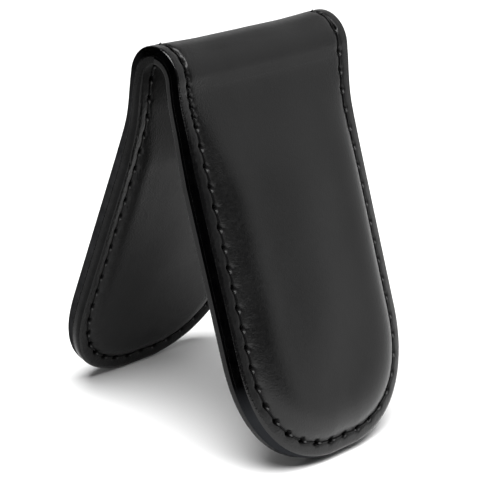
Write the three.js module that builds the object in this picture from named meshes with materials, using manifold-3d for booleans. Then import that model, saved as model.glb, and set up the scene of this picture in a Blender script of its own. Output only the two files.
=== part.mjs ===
// A folding leather money clip, standing on its two tips like a tent.
// An outer leather and a lining leather are sewn together round their whole edge and folded over
// at the top, so that they make two tongue-shaped leaves. Each leaf holds a foam pad, a stiff
// board and two round magnets, which pull the closed leaves together over the folded notes.
// Millimetres. +X runs along the fold, +Y towards the back leaf, +Z up; the origin is on the
// surface that the tips stand on, midway between them.

import * as THREE from 'three';
import { mergeVertices } from 'three/addons/utils/BufferGeometryUtils.js';
import Module from 'manifold-3d';

const wasm = await Module();
wasm.setup();

// ---- driving dimensions -------------------------------------------------------------------

const LEAF_LENGTH = 71.4;          // from the fold's top line to the tip, along the leather
const FOLD_HALF_WIDTH = 20.1;      // half the width at the fold
const SIDE_TAPER = 0.6;            // each side comes in this much just below the fold
const LOWER_TAPER = 0.15;          // and this much more down to where the round end starts
const ROUND_START = 50.85;         // the round end starts this far from the fold's top line
const ROUND_LENGTH = 20.7;         // half-axis of the round end, cut flat at LEAF_LENGTH
const ROUND_POWER = 2.35;          // 2 would be an ellipse; a little more is squarer

const FOLD_RADIUS = 4.05;          // radius of the glue line round the fold
const FOLD_EXIT_LEAN = rad(9.5);   // lean of the leather from the vertical, under the fold
const LEAF_LEAN = rad(20.4);       // lean of the flat part of each leaf
const EASE_LENGTH = 12.8;          // length over which one lean turns into the other

const FOLD_THICKNESS = 2.95;       // both leathers together, at the fold
const EDGE_THICKNESS = 3.9;        // both leathers together, at a leaf's sewn edge
const GLUE_GAP = 0.06;             // between the two leathers
const EDGE_ROUND = 0.35;           // rounding of the outer leather's cut edge
const LINING_ROUND = 0.3;          // rounding of the lining's cut edge
const STITCH_INSET = 2.35;         // seam line, in from the cut edge
const SIDE_DROOP = 0.7;            // the sewn margin bends inwards by this much at the sides
const TIP_DROOP = 0.6;             // and by this much at the tip
const DROOP_START = 8;             // both start this far from the fold's top line
const DROOP_EASE = 14.5;

const PAD_RISE = 1.9;              // the outer leather's rise over the foam
const LINING_RISE = 0.75;          // the lining's rise over the board
const PAD_RAMP = 4.2;              // widths of those rises, in from the seam
const LINING_RAMP = 2.2;
const PAD_START = 13;              // the padded panel starts this far from the fold's top line
const PAD_EASE = 11;

const BOARD_INSET = STITCH_INSET + LINING_RAMP;     // board and foam, in from the cut edge
const BOARD_TOP = 24;              // upper end of board and foam, from the fold's top line
const BOARD_THICKNESS = 1.32;
const INNER_GAP = 0.08;            // between the pieces inside a leaf
const MAGNET_RADIUS = 5;
const MAGNET_THICKNESS = 1.2;
const MAGNET_OFFSET = 6.5;         // each side of the middle line
const MAGNET_PLACE = 56;           // from the fold's top line
const POCKET_CLEARANCE = 0.2;

const THREAD_RADIUS = 0.25;
const THREAD_GAP = 0.12;           // between a thread run and the leather that it lies on
const THREAD_SIDES = 6;

// The leather bends along two lines on each side. The first, beside the top of the fold, lets the
// leaves open until they lie flat, level with the fold. The second, across the thin neck between
// the fold and the board, lets the closed leaves come together face to face. Places are y and z
// from the fold's centre, and a turn is measured from straight up.
const FOLD_HINGE = { y: 1.575, z: 4.2415, turn: rad(20.4), open: rad(69.6), close: rad(12) };
const NECK_S = 12;                 // the neck's line, from the fold's top line
const NECK_OPEN = rad(6);
const NECK_CLOSE = rad(8.3);
const NOTCH_HALF_GAP = 0.12;       // half a notch's width at its hinge line
const NOTCH_SPARE = rad(0.8);      // spare angle on each side of a notch
const NOTCH_REACH = 3.2;           // from the hinge line, outwards and inwards

const COLOURS = {
  outer: { color: 0x2c2c2d, roughness: 0.42, metalness: 0 },
  lining: { color: 0x232324, roughness: 0.5, metalness: 0 },
  thread: { color: 0x151516, roughness: 0.6, metalness: 0 },
  foam: { color: 0x55565a, roughness: 0.95, metalness: 0 },
  board: { color: 0x6b5f50, roughness: 0.8, metalness: 0 },
  magnet: { color: 0xb9bbbd, roughness: 0.25, metalness: 1 },
};

// ---- the leaf's shape ---------------------------------------------------------------------

function rad(degrees) {
  return (degrees * Math.PI) / 180;
}

function ramp(value) {
  return Math.min(Math.max(value, 0), 1);
}

function smooth(value) {
  const t = ramp(value);
  return t * t * (3 - 2 * t);
}

const ARC_LENGTH = FOLD_RADIUS * (Math.PI / 2 - FOLD_EXIT_LEAN);
const EASE_RADIUS = EASE_LENGTH / (LEAF_LEAN - FOLD_EXIT_LEAN);
const STRAIGHT_START = ARC_LENGTH + EASE_LENGTH;

// The glue line in side view, from the fold's centre: a tight arc over the top, a wide arc the
// other way, then straight. s is the distance from the top line, along the leather.
function glueLine(s) {
  if (s <= ARC_LENGTH) {
    const turn = s / FOLD_RADIUS;
    const lean = Math.PI / 2 - turn;
    return { y: FOLD_RADIUS * Math.sin(turn), z: FOLD_RADIUS * Math.cos(turn), lean };
  }
  const top = glueLine(ARC_LENGTH);
  const lean = Math.min(FOLD_EXIT_LEAN + (s - ARC_LENGTH) / EASE_RADIUS, LEAF_LEAN);
  const straight = Math.max(s - STRAIGHT_START, 0);
  const y = top.y + EASE_RADIUS * (Math.cos(FOLD_EXIT_LEAN) - Math.cos(lean));
  const z = top.z - EASE_RADIUS * (Math.sin(lean) - Math.sin(FOLD_EXIT_LEAN));
  return { y: y + straight * Math.sin(lean), z: z - straight * Math.cos(lean), lean };
}

// A point of the back leaf: x across, s down the leather, h outwards from the glue line.
function place(x, s, h) {
  const line = glueLine(s);
  return new THREE.Vector3(x, line.y + h * Math.cos(line.lean), line.z + h * Math.sin(line.lean));
}

function halfWidth(s) {
  const upper = smooth((s - 7) / 9);
  const lower = ramp((s - 16) / (ROUND_START - 16));
  return FOLD_HALF_WIDTH - SIDE_TAPER * upper - LOWER_TAPER * lower;
}

const ROUND_HALF_WIDTH = halfWidth(ROUND_START);

// The cut edge of one side between two distances from the fold's top line, or as far as the tip:
// points with their outward direction and the place on the middle line that each is joined to.
function cutEdge(startS, endS = LEAF_LENGTH) {
  const edge = [];
  const upper = [[ARC_LENGTH, 6], [NECK_S, 4], [STRAIGHT_START, 4]];
  const stretches = [...upper, [BOARD_TOP, 3], [ROUND_START, 5]];
  const straightEdge = (s) => ({ x: halfWidth(s), s, nx: 1, ns: 0, middleS: s });
  let from = startS;
  for (const [to, count] of stretches.filter(([end]) => end > startS && end <= endS)) {
    for (let i = 0; i < count; i += 1) {
      edge.push(straightEdge(from + ((to - from) * i) / count));
    }
    from = to;
  }
  if (endS < ROUND_START) return [...edge, straightEdge(endS)];
  const roundSteps = 12;
  const middleEnd = LEAF_LENGTH - 10;
  for (let i = 0; i <= roundSteps; i += 1) {
    const turn = (i / roundSteps) * (Math.PI / 2);
    const across = Math.max(Math.cos(turn), 0) ** (2 / ROUND_POWER);
    const down = Math.sin(turn) ** (2 / ROUND_POWER);
    const nx = across ** (ROUND_POWER - 1) / ROUND_HALF_WIDTH;
    const ns = down ** (ROUND_POWER - 1) / ROUND_LENGTH;
    const size = Math.hypot(nx, ns);
    edge.push({
      x: i === roundSteps ? 0 : ROUND_HALF_WIDTH * across,
      s: Math.min(ROUND_START + ROUND_LENGTH * down, LEAF_LENGTH),
      nx: nx / size,
      ns: ns / size,
      middleS: ROUND_START + (middleEnd - ROUND_START) * (i / roundSteps),
    });
  }
  return edge;
}

// ---- heights over the glue line ------------------------------------------------------------

function droopShare(s) {
  return ramp((s - DROOP_START) / DROOP_EASE);
}

function halfThickness(s) {
  return 0.5 * (FOLD_THICKNESS + (EDGE_THICKNESS - FOLD_THICKNESS) * droopShare(s));
}

// The sewn margin, between the seam and the cut edge, bends inwards.
function margin(s, inset) {
  const towardsTip = ramp((s - ROUND_START) / (LEAF_LENGTH - ROUND_START));
  const droop = droopShare(s) * (SIDE_DROOP + (TIP_DROOP - SIDE_DROOP) * towardsTip);
  return -droop * Math.max(1 - inset / STITCH_INSET, 0);
}

function panel(s, inset, width) {
  return smooth((inset - STITCH_INSET) / width) * smooth((s - PAD_START) / PAD_EASE);
}

const outerUnder = (s, inset) => margin(s, inset) + GLUE_GAP / 2 + PAD_RISE * panel(s, inset, PAD_RAMP);
const liningTop = (s, inset) => (
  margin(s, inset) - GLUE_GAP / 2 - LINING_RISE * panel(s, inset, LINING_RAMP)
);
const leatherThickness = (s) => halfThickness(s) - GLUE_GAP / 2;

function outerFace(s, inset) {
  const rounding = Math.max(EDGE_ROUND - inset, 0);
  return outerUnder(s, inset) + leatherThickness(s) - rounding;
}

function liningFace(s, inset) {
  const rounding = inset < EDGE_ROUND ? LINING_ROUND : 0;
  return liningTop(s, inset) - leatherThickness(s) + rounding;
}

const LINING_PANEL = -GLUE_GAP / 2 - LINING_RISE;      // the flat panels' heights, inside a leaf
const OUTER_PANEL = GLUE_GAP / 2 + PAD_RISE;
const BOARD_FLOOR = LINING_PANEL + INNER_GAP;
const BOARD_CEILING = BOARD_FLOOR + BOARD_THICKNESS;

// ---- solids ---------------------------------------------------------------------------------

function bare(geometry) {
  const plain = geometry.index ? geometry.toNonIndexed() : geometry.clone();
  plain.deleteAttribute('normal');
  plain.deleteAttribute('uv');
  return mergeVertices(plain);
}

function toSolid(geometry) {
  const plain = bare(geometry);
  const mesh = new wasm.Mesh({
    numProp: 3,
    vertProperties: new Float32Array(plain.attributes.position.array),
    triVerts: new Uint32Array(plain.index.array),
  });
  return new wasm.Manifold(mesh);
}

function toGeometry(solid) {
  const mesh = solid.getMesh();
  const geometry = new THREE.BufferGeometry();
  geometry.setAttribute('position', new THREE.BufferAttribute(mesh.vertProperties, 3));
  geometry.setIndex(new THREE.BufferAttribute(mesh.triVerts, 1));
  return geometry;
}

// A sheet of the leaf between two height functions, inside the given insets from the cut edge.
function sheet(edge, insets, lower, upper) {
  const rows = edge.map((point) => {
    const half = insets.map((inset) => ({
      x: point.x - inset * point.nx,
      s: point.s - inset * point.ns,
      inset,
    }));
    const middle = { x: 0, s: point.middleS, inset: FOLD_HALF_WIDTH };
    const other = [...half].reverse().map((spot) => ({ ...spot, x: -spot.x }));
    return [...half, middle, ...other];
  });
  const positions = [];
  const columns = rows[0].length;
  for (const heights of [upper, lower]) {
    for (const row of rows) {
      for (const spot of row) {
        positions.push(...place(spot.x, spot.s, heights(spot.s, spot.inset)).toArray());
      }
    }
  }
  const layer = rows.length * columns;
  const index = [];
  const quad = (a, b, c, d) => index.push(a, c, b, a, d, c);
  const at = (row, column) => row * columns + column;
  for (let r = 0; r < rows.length - 1; r += 1) {
    for (let c = 0; c < columns - 1; c += 1) {
      const corners = [at(r, c), at(r, c + 1), at(r + 1, c + 1), at(r + 1, c)];
      quad(...corners);
      quad(...corners.map((corner) => corner + layer).reverse());
    }
    quad(at(r, 0), at(r + 1, 0), at(r + 1, 0) + layer, at(r, 0) + layer);
    const last = columns - 1;
    quad(at(r + 1, last), at(r, last), at(r, last) + layer, at(r + 1, last) + layer);
  }
  const endRow = rows.length - 1;
  const closesAtTip = rows[endRow][0].x < EDGE_ROUND;
  for (let c = 0; c < columns - 1; c += 1) {
    quad(at(0, c + 1), at(0, c), at(0, c) + layer, at(0, c + 1) + layer);
    if (!closesAtTip) {
      quad(at(endRow, c), at(endRow, c + 1), at(endRow, c + 1) + layer, at(endRow, c) + layer);
    }
  }
  const geometry = new THREE.BufferGeometry();
  geometry.setAttribute('position', new THREE.Float32BufferAttribute(positions, 3));
  geometry.setIndex(index);
  return bare(geometry);
}

// A section drawn in the y-z plane, drawn out along the fold.
function alongFold(shape, length) {
  const geometry = new THREE.ExtrudeGeometry(shape, { depth: length, bevelEnabled: false });
  geometry.translate(0, 0, -length / 2);
  const basis = new THREE.Matrix4().makeBasis(
    new THREE.Vector3(0, 1, 0),
    new THREE.Vector3(0, 0, 1),
    new THREE.Vector3(1, 0, 0),
  );
  return geometry.applyMatrix4(basis);
}

// The gap along a bend line: narrow at the line, and wider outwards and inwards by the turns that
// it leaves room for.
function notch(hinge) {
  const outHalf = NOTCH_HALF_GAP + NOTCH_REACH * Math.tan(hinge.open / 2 + NOTCH_SPARE);
  const inHalf = NOTCH_HALF_GAP + NOTCH_REACH * Math.tan(hinge.close / 2 + NOTCH_SPARE);
  const shape = new THREE.Shape([
    new THREE.Vector2(-inHalf, -NOTCH_REACH),
    new THREE.Vector2(inHalf, -NOTCH_REACH),
    new THREE.Vector2(NOTCH_HALF_GAP, 0),
    new THREE.Vector2(outHalf, NOTCH_REACH),
    new THREE.Vector2(-outHalf, NOTCH_REACH),
    new THREE.Vector2(-NOTCH_HALF_GAP, 0),
  ]);
  const geometry = alongFold(shape, 2 * FOLD_HALF_WIDTH + 4);
  geometry.rotateX(-hinge.turn);
  geometry.translate(0, hinge.y, hinge.z);
  return geometry;
}

const neckLine = glueLine(NECK_S);
const NECK_HINGE = {
  y: neckLine.y,
  z: neckLine.z,
  turn: Math.PI / 2 - neckLine.lean,
  open: NECK_OPEN,
  close: NECK_CLOSE,
};
const HINGE_S = FOLD_RADIUS * FOLD_HINGE.turn;
const BACK_FOLD_NOTCH = toSolid(notch(FOLD_HINGE));
const FRONT_FOLD_NOTCH = toSolid(notch(FOLD_HINGE).rotateZ(Math.PI));
const NECK_NOTCH = toSolid(notch(NECK_HINGE));

function cut(geometry, ...notches) {
  return toGeometry(notches.reduce((solid, gap) => solid.subtract(gap), toSolid(geometry)));
}

// A leather's short length over the top of the fold, between the two hinge lines.
function foldBand(innerRadius, outerRadius) {
  const first = Math.PI / 2 - FOLD_HINGE.turn;
  const last = Math.PI / 2 + FOLD_HINGE.turn;
  const shape = new THREE.Shape();
  shape.absarc(0, 0, outerRadius, first, last, false);
  shape.absarc(0, 0, innerRadius, last, first, true);
  return cut(alongFold(shape, 2 * FOLD_HALF_WIDTH), BACK_FOLD_NOTCH, FRONT_FOLD_NOTCH);
}

function threadTube(points) {
  const corners = [];
  for (let i = 0; i < THREAD_SIDES; i += 1) {
    const turn = (i / THREAD_SIDES) * 2 * Math.PI;
    corners.push(new THREE.Vector2(THREAD_RADIUS * Math.cos(turn), THREAD_RADIUS * Math.sin(turn)));
  }
  const extrudePath = new THREE.CatmullRomCurve3(points, false, 'centripetal');
  return new THREE.ExtrudeGeometry(new THREE.Shape(corners), { steps: points.length, extrudePath });
}

// One thread's run round a leaf: down one side, round the tip and up the other side.
function leafThread(heights) {
  const oneSide = cutEdge(NECK_S).map((point) => {
    const s = point.s - STITCH_INSET * point.ns;
    return place(point.x - STITCH_INSET * point.nx, s, heights(s));
  });
  const mirrored = (spot) => new THREE.Vector3(-spot.x, spot.y, spot.z);
  const otherSide = oneSide.slice(0, -1).reverse().map(mirrored);
  return cut(threadTube([...oneSide, ...otherSide]), NECK_NOTCH);
}

const needleHeight = (s) => outerFace(s, STITCH_INSET) + THREAD_GAP + THREAD_RADIUS;
const bobbinHeight = (s) => liningFace(s, STITCH_INSET) - THREAD_GAP - THREAD_RADIUS;

// ---- the pieces -----------------------------------------------------------------------------

function piece(parent, name, geometry, finish) {
  const mesh = new THREE.Mesh(geometry, new THREE.MeshStandardMaterial(COLOURS[finish]));
  mesh.name = name;
  parent.add(mesh);
  return mesh;
}

function boardOutline() {
  const side = cutEdge(BOARD_TOP).map((point) => (
    new THREE.Vector2(point.x - BOARD_INSET * point.nx, point.s - BOARD_INSET * point.ns)
  ));
  const otherSide = side.slice(0, -1).reverse().map((spot) => new THREE.Vector2(-spot.x, spot.y));
  return new THREE.Shape([...side, ...otherSide]);
}

// A frame on the flat part of the back leaf: x across, y down the leather, z outwards.
function flatFrame() {
  const frame = new THREE.Group();
  const down = new THREE.Vector3(0, Math.sin(LEAF_LEAN), -Math.cos(LEAF_LEAN));
  frame.position.copy(place(0, STRAIGHT_START, 0)).addScaledVector(down, -STRAIGHT_START);
  frame.rotation.x = LEAF_LEAN - Math.PI / 2;
  return frame;
}

function addStiffener(leaf, which) {
  const frame = flatFrame();
  const outline = boardOutline();
  for (const side of [-1, 1]) {
    const pocket = new THREE.Path();
    pocket.absarc(side * MAGNET_OFFSET, MAGNET_PLACE, MAGNET_RADIUS + POCKET_CLEARANCE, 0, 2 * Math.PI);
    outline.holes.push(pocket);
  }
  const boardOptions = { depth: BOARD_THICKNESS, bevelEnabled: false, curveSegments: 14 };
  const boardShape = new THREE.ExtrudeGeometry(outline, boardOptions);
  const board = piece(frame, `stiffener_board_${which}`, boardShape, 'board');
  board.position.z = BOARD_FLOOR;
  for (const [side, name] of [[-1, 'left'], [1, 'right']]) {
    const disc = new THREE.CylinderGeometry(MAGNET_RADIUS, MAGNET_RADIUS, MAGNET_THICKNESS, 28);
    const magnet = piece(frame, `magnet_${which}_${name}`, disc.rotateX(Math.PI / 2), 'magnet');
    magnet.position.set(side * MAGNET_OFFSET, MAGNET_PLACE, BOARD_FLOOR + BOARD_THICKNESS / 2);
  }
  leaf.add(frame);
}

const SKIN_INSETS = [0, EDGE_ROUND, STITCH_INSET, 3.5, BOARD_INSET, STITCH_INSET + PAD_RAMP];

function buildNeck(which) {
  const neck = new THREE.Group();
  const edge = cutEdge(HINGE_S, NECK_S);
  const outer = sheet(edge, SKIN_INSETS, outerUnder, outerFace);
  const lining = sheet(edge, SKIN_INSETS, liningFace, liningTop);
  piece(neck, `outer_leather_neck_${which}`, cut(outer, BACK_FOLD_NOTCH, NECK_NOTCH), 'outer');
  piece(neck, `lining_neck_${which}`, cut(lining, BACK_FOLD_NOTCH, NECK_NOTCH), 'lining');
  return neck;
}

function buildLeaf(which) {
  const leaf = new THREE.Group();
  const edge = cutEdge(NECK_S);
  const outer = sheet(edge, SKIN_INSETS, outerUnder, outerFace);
  const lining = sheet(edge, SKIN_INSETS, liningFace, liningTop);
  const foamFloor = () => BOARD_CEILING + INNER_GAP;
  const foamTop = (s, inset) => outerUnder(s, inset) - INNER_GAP;
  const foam = sheet(cutEdge(BOARD_TOP), [BOARD_INSET, STITCH_INSET + PAD_RAMP], foamFloor, foamTop);
  piece(leaf, `outer_leather_${which}`, cut(outer, NECK_NOTCH), 'outer');
  piece(leaf, `lining_${which}`, cut(lining, NECK_NOTCH), 'lining');
  piece(leaf, `foam_pad_${which}`, foam, 'foam');
  addStiffener(leaf, which);
  piece(leaf, `needle_thread_${which}`, leafThread(needleHeight), 'thread');
  piece(leaf, `bobbin_thread_${which}`, leafThread(bobbinHeight), 'thread');
  return leaf;
}

function buildFold() {
  const fold = new THREE.Group();
  const outerRadius = FOLD_RADIUS + FOLD_THICKNESS / 2;
  const innerRadius = FOLD_RADIUS - FOLD_THICKNESS / 2;
  piece(fold, 'outer_leather_fold', foldBand(FOLD_RADIUS + GLUE_GAP / 2, outerRadius), 'outer');
  piece(fold, 'lining_fold', foldBand(innerRadius, FOLD_RADIUS - GLUE_GAP / 2), 'lining');
  return fold;
}

// The tips stand on the lining's lower edge, which sets the height of the fold's centre.
const FOLD_HEIGHT = -place(0, LEAF_LENGTH, liningFace(LEAF_LENGTH, 0)).z;

const clip = new THREE.Group();
clip.add(buildFold());
for (const [which, turn] of [['back', 0], ['front', Math.PI]]) {
  const side = new THREE.Group();
  side.add(buildNeck(which), buildLeaf(which));
  side.rotation.z = turn;
  clip.add(side);
}
clip.position.z = FOLD_HEIGHT;

export default clip;
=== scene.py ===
# The money clip's visual model: two padded leather leaves, sewn together round their whole edge.
# On each leaf, the outer leather and the lining are built from the fold's top line to the tip in two
# stretches, which meet in the stiff neck: a crown piece over the fold, and a leaf piece from the neck
# to the tip. The stitches are made in the same stretches as the leather that they hold.

import math

import bmesh
import bpy
import numpy as np
from mathutils import Matrix, Vector, noise


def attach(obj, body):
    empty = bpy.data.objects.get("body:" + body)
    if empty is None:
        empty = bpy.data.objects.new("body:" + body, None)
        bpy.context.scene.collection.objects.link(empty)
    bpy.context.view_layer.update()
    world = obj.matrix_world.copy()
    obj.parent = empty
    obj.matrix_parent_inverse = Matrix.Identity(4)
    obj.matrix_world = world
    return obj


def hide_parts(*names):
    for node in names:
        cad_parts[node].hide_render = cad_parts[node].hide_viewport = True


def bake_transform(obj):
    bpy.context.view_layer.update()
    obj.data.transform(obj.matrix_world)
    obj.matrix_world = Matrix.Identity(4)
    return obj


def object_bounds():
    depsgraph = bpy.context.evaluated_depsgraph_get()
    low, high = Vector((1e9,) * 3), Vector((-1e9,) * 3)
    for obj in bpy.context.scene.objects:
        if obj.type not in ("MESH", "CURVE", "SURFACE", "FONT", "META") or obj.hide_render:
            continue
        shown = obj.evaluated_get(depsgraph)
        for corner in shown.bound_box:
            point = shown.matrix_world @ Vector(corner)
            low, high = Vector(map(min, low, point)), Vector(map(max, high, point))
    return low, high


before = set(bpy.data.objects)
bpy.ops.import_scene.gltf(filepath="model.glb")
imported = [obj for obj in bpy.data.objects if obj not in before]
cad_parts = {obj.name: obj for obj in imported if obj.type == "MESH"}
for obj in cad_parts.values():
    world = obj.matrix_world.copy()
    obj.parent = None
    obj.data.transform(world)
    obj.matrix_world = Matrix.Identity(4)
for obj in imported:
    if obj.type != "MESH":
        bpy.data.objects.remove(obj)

CAD_LOW, CAD_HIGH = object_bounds()

# ---- the outline and the fold, in millimetres, as in the part's source -------------------------

MM = 0.001
LEAF_LENGTH = 71.4                # from the fold's top line to the tip, along the leather
FOLD_HALF_WIDTH = 20.1
SIDE_TAPER = 0.6                  # each side comes in this much just below the fold,
SIDE_TAPER_START = 7
SIDE_TAPER_EASE = 9
SIDE_TAPER_END = SIDE_TAPER_START + SIDE_TAPER_EASE
LOWER_TAPER = 0.15                # and this much more down to where the round end starts
ROUND_START = 50.85
ROUND_LENGTH = 20.7               # half-axis of the round end, cut flat at LEAF_LENGTH
ROUND_POWER = 2.35                # 2 would be an ellipse; a little more is squarer
FOLD_RADIUS = 4.05                # of the glue line between the two leathers
FOLD_EXIT_LEAN = math.radians(9.5)
LEAF_LEAN = math.radians(20.4)
EASE_LENGTH = 12.8                # over which one lean turns into the other
FOLD_THICKNESS = 2.95             # both leathers together, at the fold
EDGE_THICKNESS = 3.9              # and at the sewn edge of a leaf
GLUE_GAP = 0.06
STITCH_INSET = 2.35               # from the cut edge to the seam
SIDE_DROOP = 0.7                  # the sewn margin bends inwards by this much at the sides
TIP_DROOP = 0.6                   # and by this much at the tip
DROOP_START = 8
DROOP_EASE = 14.5
BOARD_INSET = 4.55
INNER_GAP = 0.08                  # between the pieces inside a leaf

ARC_LENGTH = FOLD_RADIUS * (math.pi / 2 - FOLD_EXIT_LEAN)
EASE_RADIUS = EASE_LENGTH / (LEAF_LEAN - FOLD_EXIT_LEAN)
STRAIGHT_START = ARC_LENGTH + EASE_LENGTH
FOLD_CENTRE = CAD_HIGH.z / MM - FOLD_RADIUS - FOLD_THICKNESS / 2

# ---- the leathers' finer shape, in millimetres -------------------------------------------------

DROOP_REACH = 2.9                 # in from the cut edge, to the foot of the outer panel's ramp
CREST_RISE = 0.2                  # the stiff sewn ends of the fold stand a little proud of
CREST_SAG = 0.14                  # its middle, which sags
CREST_REACH = 5                   # down the leather
CREST_EASE = 12                   # in from the cut edge
DOME_END = 10                     # the panels' dome ends this far from the tip
DOME_EASE = 16
GROOVE_REACH = 0.42               # either way from the middle of the seam
PULL_DEPTH = 0.1                  # how far the thread pulls the leather down round each hole
PULL_REACH = 0.7
HOLE_DEPTH = 1.05
HOLE_REACH = 0.36
HOLE_STEEPNESS = 4
UNEVEN_START = 0.2                # the hand-made unevenness grows in from the cut edge
UNEVEN_EASE = 1.5
UNEVEN_WAVES = ((9, 13, 0, 0.055), (3, 3.4, 7, 0.012))     # width, length, seed step and height

# What the two leathers differ in. way is the way they face: 1 outwards, -1 inwards. rise is their
# rise over the foam or the board, ramp how wide its slope is, power how rounded, foot how far it
# is from the seam, and start and ease where it grows in from the fold. dome is how much the panel
# is domed, and groove how deep the seam lies. The three kinds of round are the cut edge's radius
# at the fold, on the back leaf and at the front leaf's tip.
OUTER = dict(way=1, rise=1.9, ramp=8.5, power=5, foot=0.5, start=8, ease=20, dome=0.3,
             groove=0.19, round_fold=0.36, round_back=1.4, round_tip=0.9)
LINING = dict(way=-1, rise=0.75, ramp=2.6, power=2, foot=0.15, start=13, ease=11, dome=0.1,
              groove=0.17, round_fold=0.3, round_back=1.1, round_tip=0.6)
ROUND_BACK_START = 1
ROUND_BACK_EASE = 13
ROUND_TIP_START = 52
ROUND_TIP_EASE = 12
ROUND_SWELL = 0.26                # how far the edge stands out, for each mm of radius over the fold's
WALL_BULGE = 0.02                 # of the cut edge's flat part, from the rounding to the glue line,
WALL_BULGE_SHIFT = 0.1            # with its middle moved towards the rounding by this share

# Stitches, counted from the fold's top line down one side to the middle of the tip.
STITCHES = 24
SIDE_STITCHES = 17
SIDE_PITCH = 3.296
SPLIT_STITCH = 2.25               # where the crown piece meets the leaf piece
SLIT_SLANT = math.radians(35)     # the needle's slit, turned from the seam,
SLIT_STRETCH = 1.35               # and how much longer than wide it is
THREAD_RADIUS = 0.14
PLY_LOBE = 0.13                   # how far each of the two plies stands out, as a share of the radius
PLY_TURNS_PER_MM = 0.9
STITCH_START = 0.08               # a stitch shows from this share of its pitch
STITCH_REACH = 0.84               # over this share
STITCH_SLANT = 0.09               # sideways at its ends, in mm
STITCH_DIVE = 0.8                 # down into the hole at its ends, in mm
STITCH_DIVE_POWER = 9
STITCH_PROUD = 0.06               # above the groove's floor, in mm
GLINT_HUMP = 0.3                    # the thread's hump where it comes out of a hole, under its painted glint,
DOUBLED_HUMP = 0.08               # and where the seam is sewn twice and there is no glint
HUMP_PLACE = 0.13                 # as a share of the stitch
HUMP_REACH = 0.06
UNGLINTED_RUN = 2                  # a start in mm for the thread's own coordinate, past the painted glint

# The seam is closed on the front leaf's left side, where its two ends overlap, with a tack stitch
# at the other end of the fold.
OVERLAP_HAND = -1
OVERLAP_STITCHES = 4
OVERLAP_SLANT = 0.05
BACKTACK_INSET = 1.75
BACKTACK_STITCHES = 1.3

FOAM_START_STITCH = 7.25          # where the foam begins, just under the board's upper end
FOAM_FLOOR = 0.62 + INNER_GAP     # above the glue line, on the board
FOAM_SLACK = 0.12                 # less foam beside the edges than the leather has room for
FOAM_LEAST = 0.1
FOAM_EDGE = 0.25                  # the share of its height that it has at its cut edge
FOAM_RIM = 0.35                   # widths of the rounding at its sides and at its upper end
FOAM_END = 1.2
FOAM_UNEVEN = 0.6
FOAM_SEED = 31

# ---- how finely the meshes are divided ---------------------------------------------------------

SIDE_STEPS = 3000
ROUND_STEPS = 2500
ROWS_PER_STITCH = 12
LAST_ROW = 0.006                  # stitches from a piece's cut end to the row beside it
MEETING_INSET = 13                # how far above the tip the rows of points round it meet
ROUND_TURNS = [0, 15, 30, 45, 60, 75, 90]      # degrees round the cut edge's rounding
WALL_SHARES = [1.0, 0.82, 0.6, 0.38, 0.18]     # of the way from the rounding to the glue line
PAINTED_TURNS = 3                 # the edge paint laps this many steps on to the rounding,
GLUE_COLUMNS = 2                  # and the paint of the glue line covers this many steps of the wall
# Columns of points: mm in from the cut edge, and then shares of the way on to the middle line.
FACE_INSETS = [0.6, 0.9, 1.2, 1.5, 1.75, 1.93, 2.08, 2.22, 2.35, 2.48, 2.62, 2.77, 2.95, 3.2, 3.55,
               4.0, 4.6, 5.3, 6.1, 7.0, 8.0, 9.0]
FACE_FILL = [0.06, 0.13, 0.22, 0.33, 0.46, 0.6, 0.74, 0.87, 1.0]
GLUED_INSETS = [0.3, 1.2, 2.35, 2.8, 3.4, 4.2, 5.2, 6.6, 8.6]
GLUED_FILL = [0.4, 1.0]
FOAM_INSETS = [BOARD_INSET + step for step in (0.1, 0.16, 0.3, 0.6, 1.0, 1.5, 2.0, 2.6)]
FOAM_FILL = [0.08, 0.2, 0.36, 0.56, 0.78, 1.0]
STITCH_POINTS = 15
THREAD_SIDES = 9
CM_PER_MM = 0.1                   # the leathers' and the threads' own coordinates are in centimetres
MERGE_WITHIN = 2e-6               # metres, both of these
SLIVER = 1e-7


# ---- the leaf's shape --------------------------------------------------------------------------

def smooth(value):
    t = np.clip(value, 0, 1)
    return t * t * (3 - 2 * t)


def glue_line(s):
    """y, z and lean of the line between the leathers, s mm from the fold's top line."""
    s = np.asarray(s, float)
    turn = np.minimum(s, ARC_LENGTH) / FOLD_RADIUS
    y_arc, z_arc = FOLD_RADIUS * np.sin(turn), FOLD_RADIUS * np.cos(turn)
    lean = np.minimum(FOLD_EXIT_LEAN + (s - ARC_LENGTH) / EASE_RADIUS, LEAF_LEAN)
    straight = np.maximum(s - STRAIGHT_START, 0)
    y = y_arc + EASE_RADIUS * (math.cos(FOLD_EXIT_LEAN) - np.cos(lean)) + straight * np.sin(lean)
    z = z_arc - EASE_RADIUS * (np.sin(lean) - math.sin(FOLD_EXIT_LEAN)) - straight * np.cos(lean)
    over = s <= ARC_LENGTH
    lean = np.where(over, math.pi / 2 - turn, lean)
    return np.where(over, y_arc, y), np.where(over, z_arc, z), lean


def place(x, s, h, side):
    """Points in metres: x across, s down the leather, h outwards. side is 1 for the back leaf and
    -1 for the front one."""
    y, z, lean = glue_line(s)
    out_y, out_z = y + h * np.cos(lean), z + h * np.sin(lean) + FOLD_CENTRE
    return np.stack([x + 0 * out_y, side * out_y, out_z], -1) * MM


def half_width(s):
    side = SIDE_TAPER * smooth((s - SIDE_TAPER_START) / SIDE_TAPER_EASE)
    lower = np.clip((s - SIDE_TAPER_END) / (ROUND_START - SIDE_TAPER_END), 0, 1)
    return FOLD_HALF_WIDTH - side - LOWER_TAPER * lower


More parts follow.
